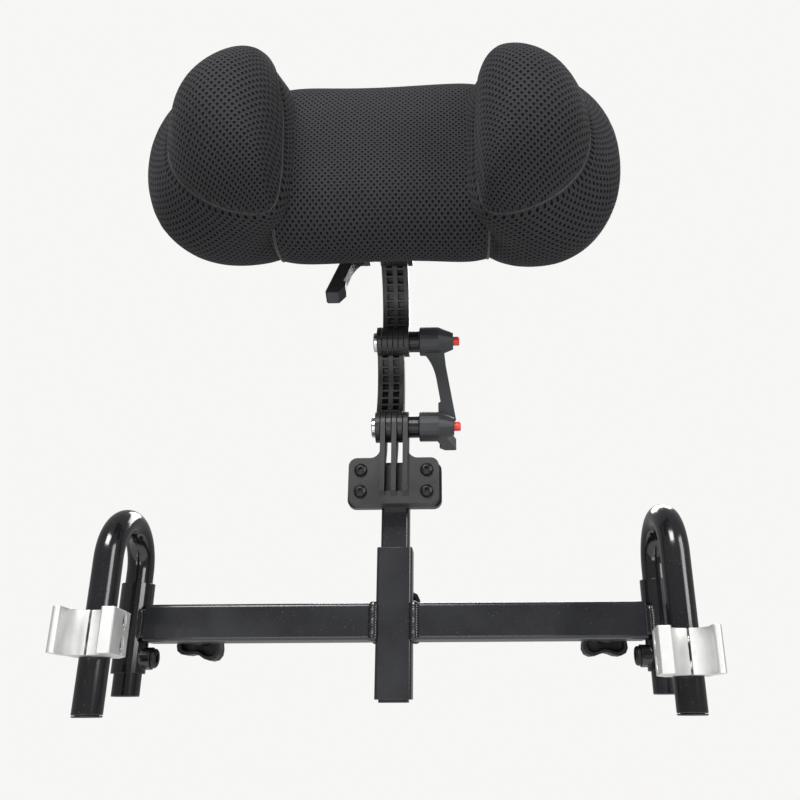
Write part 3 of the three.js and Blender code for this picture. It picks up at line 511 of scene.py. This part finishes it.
# Sections of a wing from its back to its tip, in planes that face forwards: how far forward each
# lies, its outer and inner edge outwards from the seam, and its top and bottom, in millimetres.
WING_SECTIONS = [
    (0, 56, -22, 42, -42), (10, 76, -22, 57, -56), (27, 88, -22, 65, -64), (51, 92, -22, 69, -66),
    (71, 84, -20, 68, -65), (86, 70, -13, 63, -64), (97, 62, -10, 59, -62), (111, 57, -9, 53, -55),
    (124, 48, -4, 42, -43), (133, 37, 6, 27, -26), (136, 28, 14, 14, -8),
]
BACK_PLANE = PAD.y + 42 * MM
WING_SEAM = HALF_WIDTH  # from the pad's middle to the plane where a wing starts


def between(rows, t):
    """Row at place t of a table, on a smooth curve through its rows."""
    i = min(int(t), len(rows) - 2)
    f = t - i
    before, first = rows[max(i - 1, 0)], rows[i]
    last, after = rows[i + 1], rows[min(i + 2, len(rows) - 1)]
    made = []
    for p, a, b, q in zip(before, first, last, after):
        made.append(a + f * (b - p) / 2 + f * f * (p - 2.5 * a + 2 * b - q / 2)
                    + f ** 3 * (1.5 * (a - b) + (q - p) / 2))
    return made


def wing_form(side):
    """A wing before it is filled: a loft from its flat back to its tip."""
    steps = 44
    rings = []
    for i in range(steps + 1):
        place = i / steps * (len(WING_SECTIONS) - 1)
        forward, outer, inner, top, bottom = between(WING_SECTIONS, place)
        lean = 1.5 * math.sin(forward / 40) * (1 if side > 0 else -1)
        ring = []
        for j in range(56):
            a = 2 * math.pi * j / 56
            c, s = math.cos(a), math.sin(a)
            # towards the front a section turns into a D: tall inside and drawn out outwards
            front = min(max((forward - 45) / 45, 0), 1)
            fullness = 0.86 + front * (0.34 if c > 0 else -0.24)
            across = math.copysign(abs(c) ** fullness, c)
            up = math.copysign(abs(s) ** 0.86, s)
            if side * s > 0:
                up *= 0.93 if side > 0 else 0.9
            share = 0.5 - front * (0.17 if s > 0 else 0.38)
            crest = inner + share * (outer - inner)
            x = WING_SEAM / MM + crest + (outer - crest if c > 0 else crest - inner) * across
            z = (top + bottom) / 2 + (top - bottom) / 2 * up + lean
            ring.append(Vector((PAD.x + side * x * MM, BACK_PLANE - forward * MM, PAD.z + z * MM)))
        rings.append(ring if side > 0 else ring[::-1])
    return loft(rings)


def seam_plane(side):
    """Point and normal of the plane in which the wing's front panel is sewn to its band."""
    point = PAD + mm(side * 100, -50, 0)
    return point, Vector((-side * 0.03, -1.0, -0.12)).normalized()


FILLED_STEPS = 20
VOXEL = 4.5 * MM
PRESSURE = 4.0
MOST_MOVED = 7 * MM  # how far filling may move a point


def remeshed(name, mesh, voxel):
    """The outside skin of a mesh, as an even grid of quads."""
    made = bpy.data.objects.new(name, mesh)
    scene.collection.objects.link(made)
    skin = made.modifiers.new("skin", "REMESH")
    skin.mode = "VOXEL"
    skin.voxel_size = voxel
    depsgraph = bpy.context.evaluated_depsgraph_get()
    made.data = bpy.data.meshes.new_from_object(made.evaluated_get(depsgraph))
    made.modifiers.clear()
    return made


def smoothed(made, rounds, factor=0.5):
    bm = bmesh.new()
    bm.from_mesh(made.data)
    for _ in range(rounds):
        bmesh.ops.smooth_vert(bm, verts=bm.verts, factor=factor, use_axis_x=True, use_axis_y=True,
                              use_axis_z=True)
    bm.to_mesh(made.data)
    bm.free()


def fill(pads, pressure, cap):
    """Blows the pads up as cloth, with their seams held, and keeps every point within cap."""
    before = {pad: [v.co.copy() for v in pad.data.vertices] for pad in pads}
    for pad in pads:
        cloth = pad.modifiers.new("Cloth", "CLOTH").settings
        cloth.quality = 6
        cloth.mass = 0.25
        cloth.tension_stiffness = 12
        cloth.compression_stiffness = 8
        cloth.shear_stiffness = 4
        cloth.bending_stiffness = 0.8
        cloth.use_pressure = True
        cloth.uniform_pressure_force = pressure
        cloth.effector_weights.gravity = 0
        cloth.vertex_group_mass = "seam"
    for step in range(1, FILLED_STEPS + 1):
        scene.frame_set(step)
    depsgraph = bpy.context.evaluated_depsgraph_get()
    for pad in pads:
        filled = bpy.data.meshes.new_from_object(pad.evaluated_get(depsgraph))
        for v, old in zip(filled.vertices, before[pad]):
            moved = v.co - old
            if moved.length > cap:
                v.co = old + moved * (cap / moved.length)
        pad.modifiers.clear()
        pad.data = filled
    scene.frame_set(1)


def hold(pad, weight_at):
    """The vertex group that holds the cloth, from a weight for each place."""
    group = pad.vertex_groups.new(name="seam")
    for v in pad.data.vertices:
        weight = weight_at(v.co)
        if weight > 0:
            group.add([v.index], min(weight, 1.0), "REPLACE")


def near(distance, reach):
    return max(0.0, 1 - abs(distance) / reach)


def refine(pad):
    shape = pad.modifiers.new("finer", "SUBSURF")
    shape.levels = 1
    shape.render_levels = 1
    depsgraph = bpy.context.evaluated_depsgraph_get()
    finer = bpy.data.meshes.new_from_object(pad.evaluated_get(depsgraph))
    pad.modifiers.clear()
    pad.data = finer


def knit_map(pad, place):
    """UV map in metres. place gives (u, v) of a point; the last argument is the face's middle, so
    that a face across the join of an angle stays whole."""
    mesh = pad.data
    layer = mesh.uv_layers.new(name="knit")
    for poly in mesh.polygons:
        for loop in poly.loop_indices:
            p = mesh.vertices[mesh.loops[loop].vertex_index].co
            layer.data[loop].uv = place(p, poly.center)


def unwrapped(angle, reference):
    while angle - reference > math.pi:
        angle -= 2 * math.pi
    while angle - reference < -math.pi:
        angle += 2 * math.pi
    return angle


def shape_surface(pad, offset):
    """Moves every point along its normal by what offset says."""
    mesh = pad.data
    normals = [v.normal.copy() for v in mesh.vertices]
    for v, n in zip(mesh.vertices, normals):
        v.co += n * offset(v.co, n)
    mesh.update()


MESH_WIDE = air_mesh("mesh_wide", 4.6, 2.5, 0.16, 0.9)
MESH_CENTRE = air_mesh("mesh_centre", 4.0, 2.3, 0.20, 0.8)
MESH_BAND = air_mesh("mesh_band", 3.0, 1.2, 0.5, 0.45, (0.0175, 0.0178, 0.0198))
THREAD = thread("seam_thread", (0.009, 0.0091, 0.0102))

centre = remeshed("centre_cushion", centre_form(), VOXEL)
wings = {side: remeshed(f"{name}_wing_cushion", wing_form(side), VOXEL)
         for side, name in ((-1, "left"), (1, "right"))}
for wing in wings.values():
    smoothed(wing, 2)
hold(centre, lambda p: near(abs(p.x - PAD.x) - HALF_WIDTH, 7 * MM) + near(p.y - BACK_PLANE, 6 * MM))
for side, wing in wings.items():
    point, normal = seam_plane(side)
    hold(wing, lambda p: near((p - point).dot(normal), 6 * MM))
fill([centre, *wings.values()], PRESSURE, MOST_MOVED)

for pad in (centre, *wings.values()):
    refine(pad)


def centre_ripples(p, n):
    edge = HALF_WIDTH - abs(p.x - PAD.x)
    pulled = near(edge, 16 * MM) ** 2 * math.sin(p.z / (3.1 * MM) + math.sin(p.y * 90)) * 0.55 * MM
    return noise.noise(Vector((p.x * 14, p.y * 30, p.z * 30))) * 1.4 * MM + pulled


shape_surface(centre, centre_ripples)
for side, wing in wings.items():
    point, normal = seam_plane(side)

    def wing_surface(p, n, point=point, normal=normal):
        distance = (p - point).dot(normal)
        groove = -2.2 * MM * math.exp(-(distance / (2.6 * MM)) ** 2)
        ridge = 0.8 * MM * math.exp(-((distance - 7 * MM) / (5 * MM)) ** 2)
        slow = noise.noise(p * 22) * 1.3 * MM
        return groove + ridge + slow

    shape_surface(wing, wing_surface)


def centre_place(p, middle):
    reference = math.atan2(middle.z - PAD.z, -(middle.y - PAD.y))
    angle = unwrapped(math.atan2(p.z - PAD.z, -(p.y - PAD.y)), reference)
    return p.x, angle * 54 * MM


knit_map(centre, centre_place)
for side, wing in wings.items():
    point, normal = seam_plane(side)
    across = Vector((0, 0, 1)).cross(normal).normalized()
    up = normal.cross(across)
    for poly in wing.data.polygons:
        poly.material_index = 0 if (poly.center - point).dot(normal) > 0 else 1

    def wing_place(p, middle, point=point, normal=normal, across=across, up=up):
        q, m = p - point, middle - point
        depth = m.dot(normal)
        if depth > 0:
            flat = Vector((q.dot(across), q.dot(up)))
            bulge = 1 + 0.35 * (flat.length / (60 * MM)) ** 2
            return flat.x * bulge, flat.y * bulge
        if m.y > BACK_PLANE - point.y - 14 * MM:
            return q.x, q.z
        reference = math.atan2(m.dot(up), m.dot(across))
        angle = unwrapped(math.atan2(q.dot(up), q.dot(across)), reference)
        return angle * 55 * MM, q.dot(normal)

    knit_map(wing, wing_place)


def section_loop(pad, point, normal):
    """Points, in order, where a plane cuts a mesh."""
    bm = bmesh.new()
    bm.from_mesh(pad.data)
    cut = bmesh.ops.bisect_plane(bm, geom=bm.verts[:] + bm.edges[:] + bm.faces[:], plane_co=point,
                                 plane_no=normal)["geom_cut"]
    across = normal.orthogonal().normalized()
    up = normal.cross(across)
    points = [v.co.copy() for v in cut if isinstance(v, bmesh.types.BMVert)]
    bm.free()
    middle = sum(points, Vector()) / len(points)
    points.sort(key=lambda p: math.atan2((p - middle).dot(up), (p - middle).dot(across)))
    return points, middle


def evenly(points, step, closed=True):
    """The same line with points a step apart, smoothed."""
    line = points + points[:1] if closed else points
    lengths = [0.0]
    for a, b in zip(line, line[1:]):
        lengths.append(lengths[-1] + (b - a).length)
    count = max(int(lengths[-1] / step), 8)
    found = []
    j = 0
    for i in range(count):
        s = lengths[-1] * i / count
        while lengths[j + 1] < s:
            j += 1
        span = lengths[j + 1] - lengths[j] or 1.0
        found.append(line[j].lerp(line[j + 1], (s - lengths[j]) / span))
    for _ in range(3):
        found = [(found[i - 1] + found[i] * 2 + found[(i + 1) % count]) / 4 for i in range(count)]
    return found


for side, name in ((-1, "left"), (1, "right")):
    wing = wings[side]
    point, normal = seam_plane(side)
    line, middle = section_loop(wing, point, normal)
    line = evenly(line, 2 * MM)
    welt = piece(f"{name}_wing_welt", tube(line, 0.9 * MM, 10, closed=True), "pad", "air_mesh", THREAD)
    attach(wing, "pad")
    wing.data.materials.clear()
    wing.data.materials.append(MESH_WIDE)
    wing.data.materials.append(MESH_BAND)
    wing.data.shade_smooth()
    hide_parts(f"{name}_wing")
    end = PAD.x + side * (HALF_WIDTH - 1.5 * MM)
    line, middle = section_loop(centre, Vector((end, 0, 0)), Vector((1, 0, 0)))
    line = evenly(line, 2 * MM)
    line = [middle + (p - middle) * 1.002 for p in line]
    piece(f"{name}_centre_welt", tube(line, 0.9 * MM, 10, closed=True), "pad", "air_mesh", THREAD)
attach(centre, "pad")
centre.data.materials.clear()
centre.data.materials.append(MESH_CENTRE)
centre.data.shade_smooth()
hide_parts("centre_pad")

# ---------------------------------------------------------------- floor, light and camera


def plain(name, colour, rough):
    m = Material(name)
    tone = m.ramp(m.noise(6.0, 3.0), 0.3, 0.7)
    m.surface(Base_Color=m.mix(tone, colour, tuple(c * 0.98 for c in colour)), Roughness=rough)
    return m.made


def disc(radius, z):
    made = bmesh.new()
    bmesh.ops.create_circle(made, cap_ends=True, segments=96, radius=radius)
    bmesh.ops.translate(made, verts=made.verts, vec=(0, 0, z))
    mesh = bpy.data.meshes.new("floor")
    made.to_mesh(mesh)
    made.free()
    return mesh


floor = bpy.data.objects.new("floor", disc(0.8, cad_lo.z - 0.26))
scene.collection.objects.link(floor)
floor.data.materials.append(plain("pale_floor", (0.86, 0.86, 0.855), 0.6))

world = bpy.data.worlds.new("studio")
scene.world = world
world.use_nodes = True
backdrop = world.node_tree.nodes["Background"]
backdrop.inputs["Color"].default_value = (1.0, 0.995, 0.985, 1)
seen = world.node_tree.nodes.new("ShaderNodeLightPath")
bright = world.node_tree.nodes.new("ShaderNodeMapRange")
bright.inputs["To Min"].default_value = 0.30  # what lights the object
bright.inputs["To Max"].default_value = 0.93  # what shows behind it
world.node_tree.links.new(seen.outputs["Is Camera Ray"], bright.inputs["Value"])
world.node_tree.links.new(bright.outputs["Result"], backdrop.inputs["Strength"])


def softbox(name, place, target, size, power):
    light = bpy.data.lights.new(name, "AREA")
    light.energy = power
    light.shape = "RECTANGLE"
    light.size, light.size_y = size
    lamp = bpy.data.objects.new(name, light)
    scene.collection.objects.link(lamp)
    lamp.location = place
    lamp.rotation_euler = (target - lamp.location).to_track_quat("-Z", "Y").to_euler()
    return lamp


middle = (cad_lo + cad_hi) / 2
softbox("key", Vector((-0.4, -1.2, 1.2)), middle, (0.8, 0.6), 30)
softbox("fill", Vector((1.1, -0.9, 0.5)), middle, (0.6, 0.8), 11)
softbox("low", Vector((-0.2, -1.2, -0.4)), middle, (1.0, 0.4), 5)
softbox("rim", Vector((0.2, 1.0, 0.9)), middle, (1.0, 0.5), 12)

camera = bpy.data.objects.new("camera", bpy.data.cameras.new("camera"))
scene.collection.objects.link(camera)
camera.data.sensor_width = 36
camera.data.lens = 36.37
camera.data.shift_x = -0.0409
camera.data.shift_y = 0.0
camera.data.clip_start = 0.01
camera.location = ORIGIN + mm(43.64, -584.69, -55.76)
yaw, pitch, roll = -0.0281, 0.3638, -0.0039
forward = Vector((
    math.sin(yaw) * math.cos(pitch), math.cos(yaw) * math.cos(pitch), math.sin(pitch)))
level = forward.to_track_quat("-Z", "Y")
camera.rotation_mode = "QUATERNION"
camera.rotation_quaternion = level @ Matrix.Rotation(roll, 3, "Z").to_quaternion()
scene.camera = camera
scene.view_settings.view_transform = "Standard"
